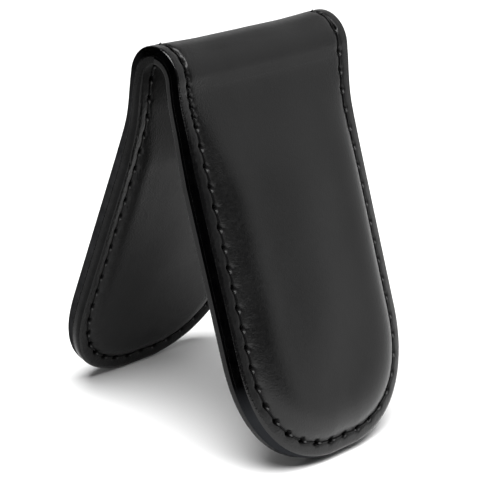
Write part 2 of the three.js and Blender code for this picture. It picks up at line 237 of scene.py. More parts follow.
def cut_edge():
    """The cut edge of one side in small steps: x, s, the outward direction's x and s, and the s at
    which the row from there meets the middle line."""
    s_side = np.linspace(0, ROUND_START, SIDE_STEPS)
    straight, none = np.ones(SIDE_STEPS), np.zeros(SIDE_STEPS)
    side = np.stack([half_width(s_side), s_side, straight, none, s_side])
    turn = np.linspace(0, math.pi / 2, ROUND_STEPS)[1:]
    outwards = np.maximum(np.cos(turn), 0) ** (2 / ROUND_POWER)
    down = np.sin(turn) ** (2 / ROUND_POWER)
    width = float(half_width(ROUND_START))
    nx = outwards ** (ROUND_POWER - 1) / width
    ns = down ** (ROUND_POWER - 1) / ROUND_LENGTH
    size = np.hypot(nx, ns)
    s_end = np.minimum(ROUND_START + ROUND_LENGTH * down, LEAF_LENGTH)
    meeting_run = LEAF_LENGTH - MEETING_INSET - ROUND_START
    middle = ROUND_START + meeting_run * turn / (math.pi / 2)
    end = np.stack([width * outwards, s_end, nx / size, ns / size, middle])
    return np.concatenate([side, end], 1)


EDGE = cut_edge()
SEAM = EDGE[:2] - STITCH_INSET * EDGE[2:4]
SEAM_LENGTHS = np.concatenate([[0], np.cumsum(np.hypot(*np.diff(SEAM, axis=1)))])
ROUND_PITCH = (SEAM_LENGTHS[-1] - SIDE_STITCHES * SIDE_PITCH) / (STITCHES - SIDE_STITCHES)


def seam_length(stitch):
    """How far down the seam a stitch count is; the stitches are a little longer round the tip."""
    stitch = np.asarray(stitch, float)
    down_side = np.minimum(stitch, SIDE_STITCHES) * SIDE_PITCH
    return down_side + np.maximum(stitch - SIDE_STITCHES, 0) * ROUND_PITCH


def edge_rows(stitches):
    """The rows of the leaf at these stitch counts, as cut_edge gives them."""
    at = np.array([np.interp(seam_length(stitches), SEAM_LENGTHS, line) for line in EDGE])
    at[2:4] /= np.hypot(at[2], at[3])
    at[0, np.asarray(stitches) >= STITCHES] = 0
    return at


# ---- heights over the glue line ----------------------------------------------------------------

def droop_share(s):
    return np.clip((s - DROOP_START) / DROOP_EASE, 0, 1)


def thickness(s):
    both = FOLD_THICKNESS + (EDGE_THICKNESS - FOLD_THICKNESS) * droop_share(s)
    return 0.5 * both - GLUE_GAP / 2


def margin(s, inset):
    """How far the glue line itself is bent out at the fold's crest, or in where the margin droops."""
    towards_tip = np.clip((s - ROUND_START) / (LEAF_LENGTH - ROUND_START), 0, 1)
    droop = droop_share(s) * (SIDE_DROOP + (TIP_DROOP - SIDE_DROOP) * towards_tip)
    crest = CREST_RISE - (CREST_RISE + CREST_SAG) * smooth(inset / CREST_EASE)
    crest = crest * np.exp(-((s / CREST_REACH) ** 2))
    return crest - droop * np.maximum(1 - inset / DROOP_REACH, 0)


def panel(kind, s, inset):
    """Share of the full rise over the foam or the board."""
    along = smooth((s - kind["start"]) / kind["ease"])
    climb = np.clip((inset - STITCH_INSET - kind["foot"]) / kind["ramp"], 0, 1)
    return (1 - (1 - climb) ** kind["power"]) * along


def glued_side(kind, s, inset):
    """Height of the hidden side, where the leather is glued or lies on the foam or the board."""
    rise = GLUE_GAP / 2 + kind["rise"] * panel(kind, s, inset)
    return margin(s, inset) + kind["way"] * rise


def seam_dip(kind, inset, hole_distance):
    """How far the thread pulls the leather down: a groove along the seam, deeper at each hole."""
    groove = kind["groove"] * np.exp(-(((inset - STITCH_INSET) / GROOVE_REACH) ** 2))
    pull = PULL_DEPTH * np.exp(-((hole_distance / PULL_REACH) ** 2))
    hole = HOLE_DEPTH * np.exp(-((hole_distance / HOLE_REACH) ** HOLE_STEEPNESS))
    return groove + pull + hole


def face_side(kind, s, inset, inward, hole_distance):
    """Height of the side that shows. inward runs from 0 at the last inset to 1 on the middle line."""
    dome = kind["dome"] * smooth(inward) * smooth((s - kind["start"]) / kind["ease"])
    dome = dome * smooth((LEAF_LENGTH - DOME_END - s) / DOME_EASE)
    proud = thickness(s) + dome - seam_dip(kind, inset, hole_distance)
    return glued_side(kind, s, inset) + kind["way"] * proud


def hand_made(x, s, seed):
    """The small unevenness of hand-laid leather, in mm."""
    rolled = []
    for a, b in zip(x.ravel(), s.ravel()):
        waves = [noise.noise(Vector((a / wide, b / long, seed + step))) * height
                 for wide, long, step, height in UNEVEN_WAVES]
        rolled.append(sum(waves))
    return np.array(rolled).reshape(x.shape)


# ---- mesh code ---------------------------------------------------------------------------------

class Sheets:
    """Grids of points that are joined into one closed mesh. Its two UV layers are grain, the
    leather's own coordinates in cm, and seam, the distances in mm from the nearest needle hole
    and from the cut edge. A thread has its own length and turn in both."""

    def __init__(self):
        self.points, self.uvs, self.faces, self.finishes = [], [], [], []

    def add_points(self, points, grain, seam):
        first = len(self.points)
        self.points.extend(points.reshape(-1, 3))
        self.uvs.extend(np.concatenate([grain.reshape(-1, 2), seam.reshape(-1, 2)], 1))
        return np.arange(first, len(self.points)).reshape(points.shape[:-1])

    def skin(self, grid, flip, finish=0):
        """Quads over a grid of point numbers. finish is a slot number, for all or for each column."""
        finish = np.broadcast_to(finish, grid.shape[1] - 1)
        for r in range(grid.shape[0] - 1):
            for c in range(grid.shape[1] - 1):
                quad = [grid[r, c], grid[r, c + 1], grid[r + 1, c + 1], grid[r + 1, c]]
                self.faces.append(quad[::-1] if flip else quad)
                self.finishes.append(int(finish[c]))

    def cap(self, ring, flip):
        self.faces.append(list(ring[::-1]) if flip else list(ring))
        self.finishes.append(0)

    def build(self, name, materials):
        mesh = bpy.data.meshes.new(name)
        mesh.from_pydata([tuple(p) for p in self.points], [], self.faces)
        corner_points = np.concatenate([np.asarray(face) for face in self.faces])
        uvs = np.asarray(self.uvs)[corner_points].astype(np.float32)
        for layer, pair in (("grain", uvs[:, :2]), ("seam", uvs[:, 2:])):
            mesh.uv_layers.new(name=layer).data.foreach_set("uv", pair.ravel())
        for material in materials:
            mesh.materials.append(material)
        mesh.polygons.foreach_set("material_index", self.finishes)
        mesh.polygons.foreach_set("use_smooth", [len(face) <= 4 for face in self.faces])
        work = bmesh.new()
        work.from_mesh(mesh)
        bmesh.ops.remove_doubles(work, verts=work.verts, dist=MERGE_WITHIN)
        bmesh.ops.dissolve_degenerate(work, edges=work.edges, dist=SLIVER)
        bmesh.ops.recalc_face_normals(work, faces=work.faces)
        work.to_mesh(mesh)
        work.free()
        made = bpy.data.objects.new(name, mesh)
        bpy.context.scene.collection.objects.link(made)
        return made


def across(rows, insets, fill):
    """Where a leaf's points lie: x, s, inset and inward share for each row and column. The columns
    run from one cut edge to the other: insets from the edge, and then fill, the shares of the way
    from the last inset to the middle line."""
    x, s, nx, ns, middle = rows[:, :, None]
    insets = np.atleast_2d(insets)
    half_x, half_s = x - insets * nx, s - insets * ns
    share = np.asarray(fill)[None]
    fill_x = half_x[:, -1:] * (1 - share)
    fill_s = half_s[:, -1:] * (1 - share) + middle * share
    fill_inset = insets[:, -1:] + share * (np.hypot(x, s - middle) - insets[:, -1:])
    half_x, half_s = np.concatenate([half_x, fill_x], 1), np.concatenate([half_s, fill_s], 1)
    inset = np.concatenate([insets + 0 * x, fill_inset + 0 * x], 1)
    inward = np.concatenate([0 * insets + 0 * x, share + 0 * x], 1)
    mirror = slice(-2, None, -1)
    return [np.concatenate([line, sign * line[:, mirror]], 1)
            for line, sign in ((half_x, -1), (half_s, 1), (inset, 1), (inward, 1))]


def stitch_rows(start, end):
    """Stitch counts of a piece's rows, with one more row beside each end that isn't the tip."""
    steps = np.arange(round(start * ROWS_PER_STITCH), round(end * ROWS_PER_STITCH) + 1)
    extra = [start + LAST_ROW] + ([end - LAST_ROW] if end < STITCHES else [])
    return np.sort(np.concatenate([steps / ROWS_PER_STITCH, extra]))


def hole_distances(stitches, inset, x, doubled):
    """Distance in mm to the nearest needle hole, measured across the hole, which is a slanting
    slit. Where doubled, on the side where the seam's two ends overlap, there are holes half-way."""
    pitch = np.where(stitches < SIDE_STITCHES, SIDE_PITCH, ROUND_PITCH)[:, None]
    phase = stitches[:, None]
    along = (phase - np.round(phase)) * pitch + 0 * inset
    if doubled:
        half = (phase * 2 - np.round(phase * 2)) * pitch / 2 + 0 * inset
        overlap = (np.sign(x) == OVERLAP_HAND) & (phase <= OVERLAP_STITCHES)
        along = np.where(overlap, half, along)
    along, off = -np.sign(x) * along, inset - STITCH_INSET
    slit = along * math.cos(SLIT_SLANT) + off * math.sin(SLIT_SLANT)
    from_slit = off * math.cos(SLIT_SLANT) - along * math.sin(SLIT_SLANT)
    return np.hypot(slit / SLIT_STRETCH, from_slit)


def edge_round(kind, side, s):
    """Radius of the cut edge: the back leaf's was sanded rounder, the front one's only at the tip."""
    if side > 0:
        end, grown = kind["round_back"], smooth((s - ROUND_BACK_START) / ROUND_BACK_EASE)
    else:
        end, grown = kind["round_tip"], smooth((s - ROUND_TIP_START) / ROUND_TIP_EASE)
    return kind["round_fold"] + (end - kind["round_fold"]) * grown


def wall_inset(share):
    return WALL_BULGE * (1 - math.sin(math.pi * min(share + WALL_BULGE_SHIFT, 1)))


def leather(name, kind, side, start, end, materials, doubled, seed):
    """One leather from one stitch count to another: its face, its painted edge and its hidden
    glued side. The cut edge's columns are a wall, up from the glue line, and a rounding."""
    stitches = stitch_rows(start, end)
    rows = edge_rows(stitches)
    radius = edge_round(kind, side, rows[1])[:, None]
    turns = np.radians(ROUND_TURNS)[None]
    wall = [wall_inset(share) for share in WALL_SHARES]
    flat = [inset for inset in FACE_INSETS if inset > radius.max()]
    proud = ROUND_SWELL * (radius - kind["round_fold"])
    rounding = radius * (1 - np.cos(turns))
    insets = np.concatenate([wall - proud, rounding - proud, flat + 0 * radius], 1)
    x, s, inset, inward = across(rows, insets, FACE_FILL)
    share, drop = np.zeros(x.shape[1]), 0 * x
    walled = len(wall)
    rounded = walled + len(ROUND_TURNS)
    share[:walled] = WALL_SHARES
    drop[:, :walled] = radius
    drop[:, walled:rounded] = radius * (1 - np.sin(turns))
    share, drop = np.maximum(share, share[::-1]), np.maximum(drop, drop[:, ::-1])
    sunk = drop + share * (thickness(s) - radius)
    holes = hole_distances(stitches, inset, x, doubled)
    uneven = hand_made(x, side * s, seed) * np.clip((inset - UNEVEN_START) / UNEVEN_EASE, 0, 1)
    height = face_side(kind, s, inset, inward, holes) - kind["way"] * sunk + kind["way"] * uneven
    sheets = Sheets()
    grain = np.stack([x + np.sign(x) * sunk, side * s], -1) * CM_PER_MM
    points = place(x, s, height, side)
    face = sheets.add_points(points, grain, np.stack([holes, inset], -1))
    finish = np.zeros(x.shape[1] - 1, int)
    for columns, slot in ((walled + PAINTED_TURNS, 1), (GLUE_COLUMNS, 2)):
        finish[:columns] = slot
        finish[-columns:] = slot
    sheets.skin(face, False, finish)
    x, s, inset, inward = across(rows, GLUED_INSETS, GLUED_FILL)
    grain = np.stack([x, side * s], -1) * CM_PER_MM
    points = place(x, s, glued_side(kind, s, inset), side)
    under = sheets.add_points(points, grain, np.stack([inset, inset], -1))
    sheets.skin(under, True)
    for column in (0, -1):
        sheets.skin(np.stack([face[:, column], under[:, column]], 1), column == 0)
    sheets.cap(np.concatenate([face[0], under[0][::-1]]), True)
    if end < STITCHES:
        sheets.cap(np.concatenate([face[-1], under[-1][::-1]]), False)
    return sheets.build(name, materials)


def twisted_thread(sheets, path, out, run_start):
    """A two-ply thread along a path in mm: two lobes that wind round, closed at both ends. out is
    the direction away from the leather, and run_start is where the thread's coordinate begins."""
    tangent = np.gradient(path, axis=0)
    tangent /= np.linalg.norm(tangent, axis=1)[:, None]
    sideways = np.cross(tangent, out)
    sideways /= np.linalg.norm(sideways, axis=1)[:, None]
    up = np.cross(sideways, tangent)
    run = np.concatenate([[0], np.cumsum(np.linalg.norm(np.diff(path, axis=0), axis=1))])[:, None]
    angle = np.linspace(0, 2 * np.pi, THREAD_SIDES, endpoint=False)[None]
    lobes = 1 + PLY_LOBE * np.cos(2 * (angle - 2 * np.pi * PLY_TURNS_PER_MM * run))
    size = (THREAD_RADIUS * lobes)[..., None]
    turned = (np.cos(angle)[..., None] * sideways[:, None]
              + np.sin(angle)[..., None] * up[:, None])
    ring = path[:, None] + size * turned
    pair = np.broadcast_arrays((run + run_start) * CM_PER_MM, angle / (2 * np.pi))
    uv = np.stack(pair, -1)
    numbers = sheets.add_points(ring * MM, uv, uv)
    sheets.skin(np.concatenate([numbers, numbers[:, :1]], 1), False)
    sheets.cap(numbers[0], False)
    sheets.cap(numbers[-1], True)


def seam_stitch(sheets, kind, side, hand, first, last, slant=STITCH_SLANT,
                end_inset=STITCH_INSET, glinting=True):
    """One stitch: out of the first hole, along the leather and down into the last. hand is -1 for
    the side at -x."""
    t = np.linspace(0, 1, STITCH_POINTS)
    rows = edge_rows(first + (last - first) * (STITCH_START + STITCH_REACH * t))
    inset = STITCH_INSET + (end_inset - STITCH_INSET) * t + slant * (2 * t - 1)
    x, s = hand * (rows[0] - inset * rows[2]), rows[1] - inset * rows[3]
    sunk = kind["groove"] - STITCH_PROUD
    lying = 1 - np.abs(2 * t - 1) ** STITCH_DIVE_POWER
    hump = GLINT_HUMP if glinting else DOUBLED_HUMP
    hump = hump * np.exp(-(((t - HUMP_PLACE) / HUMP_REACH) ** 2))
    lift = -STITCH_DIVE + (STITCH_DIVE - sunk) * lying + hump
    height = glued_side(kind, s, inset) + kind["way"] * (thickness(s) + lift)
    path = place(x, s, height, side) / MM
    lean = glue_line(s)[2]
    out = np.stack([0 * lean, side * np.cos(lean), np.sin(lean)], -1)
    # a glinting stitch's own coordinate starts at 0, where its painted glint lies; a doubled one starts
    # past it
    twisted_thread(sheets, path, out, 0 if glinting else UNGLINTED_RUN)


def seam_threads(name, kind, side, start, end, overlap):
    """All the stitches of one thread on one piece of leather, down both sides and round the tip."""
    sheets = Sheets()
    stitches = [k for k in range(STITCHES) if start <= k + 0.5 < end]
    for k in stitches:
        for hand in (-1, 1):
            if overlap and hand == OVERLAP_HAND and k < OVERLAP_STITCHES:
                for first in (k, k + 0.5):
                    seam_stitch(sheets, kind, side, hand, first, first + 0.5,
                                slant=OVERLAP_SLANT, glinting=False)
            else:
                seam_stitch(sheets, kind, side, hand, k, k + 1)
    if overlap and start == 0:
        seam_stitch(sheets, kind, side, -OVERLAP_HAND, 0, BACKTACK_STITCHES, slant=0,
                    end_inset=BACKTACK_INSET)
    return sheets.build(name, [THREAD])


def foam_pad(name, side):
    """The foam inside a leaf: it thins towards its edges, and its face is a little crowned."""
    rows = edge_rows(stitch_rows(FOAM_START_STITCH, STITCHES))
    x, s, inset, inward = across(rows, FOAM_INSETS, FOAM_FILL)
    rim = np.clip((inset - FOAM_INSETS[0]) / FOAM_RIM, 0, 1)
    end = np.clip((s - rows[1, 0]) / FOAM_END, 0, 1)
    rim, end = (np.sqrt(np.clip(1 - (1 - share) ** 2, 0, 1)) for share in (rim, end))
    ceiling = glued_side(OUTER, s, inset) - INNER_GAP - FOAM_SLACK * (1 - smooth(inward))
    depth = np.maximum(ceiling - FOAM_FLOOR, FOAM_LEAST)
    height = FOAM_FLOOR + depth * (FOAM_EDGE + (1 - FOAM_EDGE) * (rim * end))
    height = height + hand_made(x, side * s, FOAM_SEED) * FOAM_UNEVEN
    sheets = Sheets()
    grain = np.stack([x, side * s], -1) * CM_PER_MM
    seam = np.stack([inset, inset], -1)
    top = sheets.add_points(place(x, s, height, side), grain, seam)
    sheets.skin(top, False)
    bottom = sheets.add_points(place(x, s, 0 * s + FOAM_FLOOR, side), grain, seam)
    sheets.skin(bottom, True)
    for column in (0, -1):
        sheets.skin(np.stack([top[:, column], bottom[:, column]], 1), column == 0)
    sheets.skin(np.stack([top[0], bottom[0]], 1), False)
    return sheets.build(name, [FOAM])


# ---- materials ---------------------------------------------------------------------------------

class Shader:
    """A material under construction: one principled shader, with its fixed values on its own
    sockets."""

    def __init__(self, name, **fixed):
        self.material = bpy.data.materials.new(name)
        self.material.use_nodes = True
        self.tree = self.material.node_tree
        self.principled = next(n for n in self.tree.nodes if n.type == "BSDF_PRINCIPLED")
        for socket, value in fixed.items():
            self.principled.inputs[socket.replace("_", " ")].default_value = value

    def node(self, kind, values=None, links=None, **settings):
        made = self.tree.nodes.new(kind)
        for key, value in settings.items():
            setattr(made, key, value)
        for key, value in (values or {}).items():
            made.inputs[key].default_value = value
        for key, source in (links or {}).items():
            self.tree.links.new(source, made.inputs[key])
        return made

    def uv(self, layer):
        return self.node("ShaderNodeUVMap", uv_map=layer).outputs["UV"]

    def object_place(self):
        return self.node("ShaderNodeTexCoord").outputs["Object"]

    def noise(self, vector, scale, detail=3.0, roughness=0.55):
        values = {"Scale": scale, "Detail": detail, "Roughness": roughness}
        return self.node("ShaderNodeTexNoise", values, {"Vector": vector}).outputs["Fac"]

    def cells(self, vector, scale, feature="SMOOTH_F1"):
        node = self.node("ShaderNodeTexVoronoi", {"Scale": scale}, {"Vector": vector}, feature=feature)
        return node.outputs["Distance"]

    def part(self, vector, axis):
        return self.node("ShaderNodeSeparateXYZ", links={"Vector": vector}).outputs[axis]

    def fit(self, source, low, high, to_low=0.0, to_high=1.0):
        """source's run from low to high, turned into a run from to_low to to_high and held there."""
        values = {"From Min": low, "From Max": high, "To Min": to_low, "To Max": to_high}
        return self.node("ShaderNodeMapRange", values, {"Value": source}).outputs["Result"]

    def maths(self, operation, *operands):
        node = self.node("ShaderNodeMath", operation=operation)
        for k, operand in enumerate(operands):
            if isinstance(operand, (int, float)):
                node.inputs[k].default_value = operand
            else:
                self.tree.links.new(operand, node.inputs[k])
        return node.outputs["Value"]

    def scaled(self, source, factor):
        return self.maths("MULTIPLY", source, factor)

    def plus(self, first, second):
        return self.maths("ADD", first, second)

    def distance(self, source, middle):
        return self.maths("ABSOLUTE", self.maths("SUBTRACT", source, middle))

    def blend_colours(self, share, low, high):
        node = self.node("ShaderNodeMix", links={"Factor": share}, data_type="RGBA")
        for name, source in (("A", low), ("B", high)):
            socket = next(i for i in node.inputs if i.name == name and i.type == "RGBA")
            if isinstance(source, tuple):
                socket.default_value = (*source, 1)
            else:
                self.tree.links.new(source, socket)
        return next(o for o in node.outputs if o.type == "RGBA")

    def bump(self, height, strength, depth, under=None):
        """Relief from a height of 0 to 1, depth mm deep, on top of the relief under it, if any."""
        values = {"Strength": strength, "Distance": depth * MM}
        links = {"Height": height} if under is None else {"Height": height, "Normal": under}
        return self.node("ShaderNodeBump", values, links).outputs["Normal"]

    def drive(self, **links):
        for socket, source in links.items():
            self.tree.links.new(source, self.principled.inputs[socket.replace("_", " ")])
        return self.material


def tinted(colour, factor):
    return tuple(factor * channel for channel in colour)


# Ranges over which a share grows from 0 to 1. These are of a noise's own value:
MIDDLE_NOISE = (0.35, 0.65)
WIDE_NOISE = (0.3, 0.7)
DYE_NOISE = (0.36, 0.64)
WORN_NOISE = (0.45, 0.7)
PORE_NOISE = (0.62, 0.74)
SPECK_NOISE = (0.64, 0.72)
FLECK_NOISE = (0.62, 0.75)
# and these are in mm from the cut edge, from the seam or from the nearest hole:
WORN_RIM = (1.5, 0.5)
POLISHED_RIM = (0.9, 0.3)
PEBBLED_MARGIN = (7.5, 4.0)
# the reach of the painted shade along the seam's groove and in the needle holes:
GROOVE_SHADE = (0.55, 0.2)
HOLE_EDGE = (0.46, 0.34)
# and these in cm: from the fold's top line, for the painted shade in the fold and the painted
# reflection towards the tip, or from the middle of a thread's painted glint:
PAINTED_FOLD_SHADE = (1.2, 0.4)
EDGE_FOLD_SHADE = (1.3, 0.2)
EDGE_TIP_REFLECTION = (5.5, 6.1)
GLINT_FADE = (0.034, 0.014)
GLINT_PLACE = 0.1                   # cm from the start of a stitch

PEBBLE_SCALE = 40                 # pebbles in a centimetre
PANEL_PEBBLES = 0.28              # the pebbles' height on the stretched panel, as a share
PORE_DARKENING = 0.3
# the next two are painted shade, along the seam's groove and inside the fold, as shares of the dark
# colour
GROOVE_SHADE_DARKENING = 0.25
FOLD_SHADE_DARKENING = 0.15
WEAR_LIGHTENING = 1.7
# painted shade at the bottom of the needle holes
HOLE_SHADE = (0.0003, 0.0003, 0.0003)
DUST = (0.02, 0.02, 0.02)


def leather_material(name, dark, light, rough, pebble_depth, shine, fold_shade):
    """Smooth dyed leather: a fine pebbled grain with pores, faint cloudy dye and a worn rim. Painted
    shade makes the needle holes near black and the seam's groove darker, both duller, and darkens and
    dulls the inside of the fold by as much as fold_shade."""
    shader = Shader(name, Specular_IOR_Level=shine)
    grain, seam = shader.uv("grain"), shader.uv("seam")
    hole_distance, inset = shader.part(seam, "X"), shader.part(seam, "Y")
    clouds = shader.noise(grain, scale=0.9, detail=2.0)
    mottle = shader.noise(grain, scale=14, detail=4.0)
    pores = shader.fit(shader.noise(grain, scale=60, detail=2.0, roughness=0.4), *PORE_NOISE)
    worn = shader.maths("MULTIPLY", shader.fit(inset, *WORN_RIM), shader.fit(mottle, *WORN_NOISE))
    # painted shade: the needle holes are painted near black and made duller
    hole = shader.fit(hole_distance, *HOLE_EDGE)
    # painted shade along the seam's groove, darker and duller
    groove_shade = shader.fit(shader.distance(inset, STITCH_INSET), *GROOVE_SHADE, to_high=0.6)
    from_fold = shader.maths("ABSOLUTE", shader.part(grain, "Y"))
    # painted shade inside the fold, darker and duller, by as much as fold_shade
    fold_shade_mask = shader.fit(from_fold, *PAINTED_FOLD_SHADE, to_high=fold_shade)

    dye = shader.plus(shader.scaled(clouds, 0.5), shader.scaled(mottle, 0.5))
    dye = shader.fit(dye, *DYE_NOISE)
    colour = shader.blend_colours(dye, dark, light)
    colour = shader.blend_colours(worn, colour, tinted(light, WEAR_LIGHTENING))
    colour = shader.blend_colours(shader.scaled(pores, 0.5), colour, tinted(dark, PORE_DARKENING))
    colour = shader.blend_colours(groove_shade, colour, tinted(dark, GROOVE_SHADE_DARKENING))
    colour = shader.blend_colours(hole, colour, HOLE_SHADE)
    colour = shader.blend_colours(fold_shade_mask, colour, tinted(dark, FOLD_SHADE_DARKENING))

    roughness = shader.plus(shader.fit(mottle, *WIDE_NOISE, rough - 0.04, rough + 0.05),
                            shader.fit(clouds, *WIDE_NOISE, -0.03, 0.03))
    for dulled, amount in ((hole, 0.4), (groove_shade, 0.25), (fold_shade_mask, 0.35)):
        roughness = shader.plus(roughness, shader.scaled(dulled, amount))
    polished = shader.fit(inset, *POLISHED_RIM, to_high=0.2)
    roughness = shader.maths("SUBTRACT", roughness, polished)

    pebbles = shader.maths("MULTIPLY", shader.cells(grain, PEBBLE_SCALE),
                           shader.fit(inset, *PEBBLED_MARGIN, to_low=PANEL_PEBBLES))
    fibres = shader.noise(grain, scale=48)
    relief = shader.bump(pebbles, strength=1.0, depth=pebble_depth)
    relief = shader.bump(fibres, strength=0.6, depth=0.02, under=relief)
    relief = shader.bump(pores, strength=-0.4, depth=0.02, under=relief)
    return shader.drive(Base_Color=colour, Roughness=roughness, Normal=relief)


def edge_material(name, gloss, dark, light, tip_reflection=None, fold_shade_colour=None):
    """Black paint, brushed over a cut edge, with faint brush ripples and dust specks; dark and light
    may be a grey that paints a reflection, as on the back edge. The optional colours are painted light:
    a paler grey that paints a reflection towards the tip, and near-black painted shade in the fold."""
    shader = Shader(name, Specular_IOR_Level=gloss)
    grain = shader.uv("grain")
    ripple = shader.noise(grain, scale=5)
    specks = shader.fit(shader.noise(grain, scale=42, detail=2.0, roughness=0.5), *SPECK_NOISE)
    from_fold = shader.maths("ABSOLUTE", shader.part(grain, "Y"))
    colour = shader.blend_colours(shader.fit(ripple, *MIDDLE_NOISE), dark, light)
    # painted reflection: a paler grey towards the tip
    if tip_reflection:
        colour = shader.blend_colours(shader.fit(from_fold, *EDGE_TIP_REFLECTION), colour, tip_reflection)
    # painted shade: near black in the fold
    if fold_shade_colour:
        colour = shader.blend_colours(shader.fit(from_fold, *EDGE_FOLD_SHADE), colour, fold_shade_colour)
    colour = shader.blend_colours(shader.scaled(specks, 0.5), colour, DUST)
    roughness = shader.plus(shader.fit(ripple, *WIDE_NOISE, 0.2, 0.3), shader.scaled(specks, 0.2))
    relief = shader.bump(ripple, strength=0.5, depth=0.03)
    relief = shader.bump(specks, strength=0.35, depth=0.02, under=relief)
    return shader.drive(Base_Color=colour, Roughness=roughness, Normal=relief)


def thread_material():
    """Bonded black polyester thread with fine filaments, and a painted glint, a paler patch, where it
    leaves each hole.
    """
    shader = Shader("thread", Specular_IOR_Level=0.12)
    along = shader.uv("grain")
    filaments = shader.noise(along, scale=160, detail=2.0)
    from_glint = shader.distance(shader.part(along, "X"), GLINT_PLACE)
    colour = shader.blend_colours(shader.fit(filaments, *MIDDLE_NOISE),
                                  (0.001, 0.001, 0.0011), (0.003, 0.003, 0.0032))
    # painted glint: the thread is painted paler where it leaves each hole
    colour = shader.blend_colours(shader.fit(from_glint, *GLINT_FADE), colour, (0.06, 0.06, 0.06))
    roughness = shader.fit(filaments, *WIDE_NOISE, 0.28, 0.42)
    relief = shader.bump(filaments, strength=0.4, depth=0.02)
    return shader.drive(Base_Color=colour, Roughness=roughness, Normal=relief)


def foam_material():
    """Grey closed-cell foam, with its cut cells showing."""
    shader = Shader("foam", Specular_IOR_Level=0.2)
    cells = shader.cells(shader.uv("grain"), scale=28, feature="F1")
    colour = shader.blend_colours(shader.fit(cells, 0.1, 0.6),
                                  (0.13, 0.13, 0.14), (0.055, 0.055, 0.06))
    roughness = shader.fit(cells, 0.0, 0.6, 0.85, 0.98)
    relief = shader.bump(cells, strength=-0.8, depth=0.12)
    return shader.drive(Base_Color=colour, Roughness=roughness, Normal=relief)


def board_material():
    """Grey-brown millboard with pressed fibres."""
    shader = Shader("millboard", Specular_IOR_Level=0.3)
    place_in_m = shader.object_place()
    fibres = shader.noise(place_in_m, scale=900, detail=5.0, roughness=0.7)
    flecks = shader.noise(place_in_m, scale=260, detail=2.0)
    flecks = shader.fit(flecks, *FLECK_NOISE, to_high=0.5)
    colour = shader.blend_colours(shader.fit(fibres, *MIDDLE_NOISE),
                                  (0.11, 0.09, 0.068), (0.2, 0.165, 0.125))
    colour = shader.blend_colours(flecks, colour, (0.05, 0.04, 0.03))
    roughness = shader.fit(fibres, *WIDE_NOISE, 0.78, 0.92)
    relief = shader.bump(fibres, strength=0.5, depth=0.06)
    return shader.drive(Base_Color=colour, Roughness=roughness, Normal=relief)


def magnet_material():
    """Nickel plating with fine tumbling marks."""
    shader = Shader("nickel_plate", Metallic=1.0)
    place_in_m = shader.object_place()
    marks = shader.noise(place_in_m, scale=1500, detail=4.0, roughness=0.7)
    haze = shader.noise(place_in_m, scale=200, detail=2.0)
    colour = shader.blend_colours(shader.fit(haze, *MIDDLE_NOISE),
                                  (0.52, 0.51, 0.49), (0.62, 0.61, 0.59))
    roughness = shader.fit(marks, *WIDE_NOISE, 0.16, 0.32)
    relief = shader.bump(marks, strength=0.2, depth=0.01)
    return shader.drive(Base_Color=colour, Roughness=roughness, Normal=relief)


def floor_material():
    """A pale matt studio table, faintly uneven in tone."""
    shader = Shader("pale_table", Specular_IOR_Level=0.1)
    tone = shader.noise(shader.object_place(), scale=6, detail=2.0)
    colour = shader.blend_colours(shader.fit(tone, *WIDE_NOISE),
                                  (0.90, 0.90, 0.90), (0.92, 0.92, 0.92))
    roughness = shader.fit(tone, *WIDE_NOISE, 0.75, 0.85)
    return shader.drive(Base_Color=colour, Roughness=roughness)


OUTER_LEATHER = leather_material(
    "outer_leather", dark=(0.0014, 0.0014, 0.0015), light=(0.0023, 0.0023, 0.0024),
    rough=0.34, pebble_depth=0.03, shine=0.33, fold_shade=0.0)
LINING_LEATHER = leather_material(
    "lining_leather", dark=(0.0012, 0.0012, 0.0013), light=(0.0021, 0.0021, 0.0022),
    rough=0.40, pebble_depth=0.06, shine=0.17, fold_shade=1.0)
# The linings' edge paint, with painted shade, near black, in the fold.
LINING_PAINT = dict(dark=(0.0028, 0.0028, 0.003), light=(0.005, 0.005, 0.0053),
                    fold_shade_colour=(0.0003, 0.0003, 0.0003))
# The front outer edge: black paint, with a painted reflection in grey towards the tip.
BLACK_EDGE = edge_material(
    "black_edge_paint", gloss=0.0, dark=(0.0002, 0.0002, 0.0003), light=(0.0008, 0.0008, 0.0009),
    tip_reflection=(0.020, 0.021, 0.023))
LINING_EDGE = edge_material("lining_edge_paint", gloss=0.11, **LINING_PAINT)
# The back outer edge: its black paint is given a matt grey, a painted reflection of the pale
# surroundings, which turns to painted shade, near black, in the fold.
BACK_EDGE_PAINTED_LIGHT = edge_material(
    "back_edge_painted_light", gloss=0.0, dark=(0.013, 0.013, 0.0137), light=(0.020, 0.020, 0.021),
    fold_shade_colour=(0.0004, 0.0004, 0.0004))
BACK_LINING_EDGE = edge_material("back_lining_edge_paint", gloss=0.05, **LINING_PAINT)
THREAD = thread_material()
FOAM = foam_material()
BOARD = board_material()
MAGNET = magnet_material()


# ---- the pieces --------------------------------------------------------------------------------


def crown_blend(piece, which, side):
    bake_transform(piece)


def neck_blend(piece, which, side):
    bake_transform(piece)


# Each leather's paint: on its cut edge, and on the strip of the edge beside the glue line, where
# the front leaf's black paint laps over from the outer leather on to the lining.
EDGE_PAINTS = {
    ("front", "outer_leather"): (BLACK_EDGE, BLACK_EDGE),
    ("front", "lining"): (LINING_EDGE, BLACK_EDGE),
    ("back", "outer_leather"): (BACK_EDGE_PAINTED_LIGHT, BACK_EDGE_PAINTED_LIGHT),
    ("back", "lining"): (BACK_LINING_EDGE, BACK_LINING_EDGE),
}
# Each leather's name, material slot, thread, shape, finish and seed,
LAYERS = (("outer_leather", "outer_leather", "needle", OUTER, OUTER_LEATHER, 3),
          ("lining", "lining_leather", "bobbin", LINING, LINING_LEATHER, 17))
